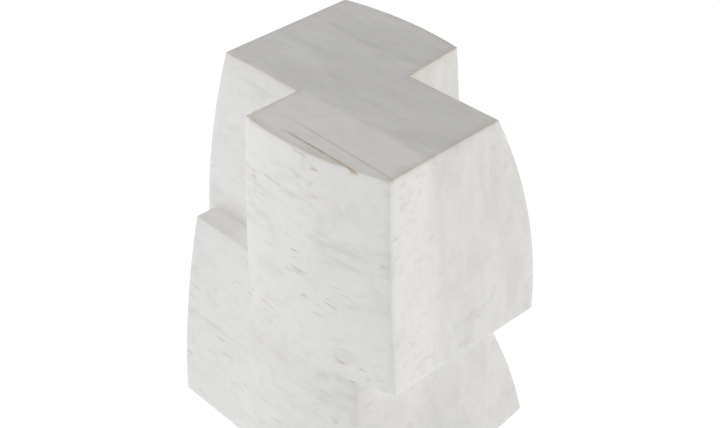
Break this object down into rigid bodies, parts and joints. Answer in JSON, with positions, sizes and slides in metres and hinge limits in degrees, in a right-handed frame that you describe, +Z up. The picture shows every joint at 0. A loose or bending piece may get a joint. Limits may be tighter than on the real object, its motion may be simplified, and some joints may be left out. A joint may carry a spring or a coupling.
{
  "type": "marble bookend",
  "caption": "Heavy marble bookend of stepped, curved stone blocks doweled together on felt pads, with one flat upright face for the books.",
  "frame": {"origin": "on the surface that the bookend stands on, under the middle of its bounding box", "axes": "+Z up; -X is the flat upright face that bears on the books; -Y is the side with the ledge"},
  "size_m": [0.1369, 0.1331, 0.178],
  "materials": {
    "marble": "honed white marble with faint grey and tan veins",
    "steel": "plain turned steel, hidden inside the joints",
    "felt": "pressed wool felt, adhesive backed"
  },
  "bodies": {
    "root": {"tall_block": "marble", "upper_block": "marble", "foot_block": "marble", "upper_dowel_1": "steel", "upper_dowel_2": "steel", "foot_dowel_1": "steel", "foot_dowel_2": "steel", "seat_dowel_1": "steel", "seat_dowel_2": "steel", "felt_pad_left_front": "felt", "felt_pad_right_front": "felt", "felt_pad_right_back": "felt", "felt_pad_left_back": "felt"}
  },
  "joints": []
}
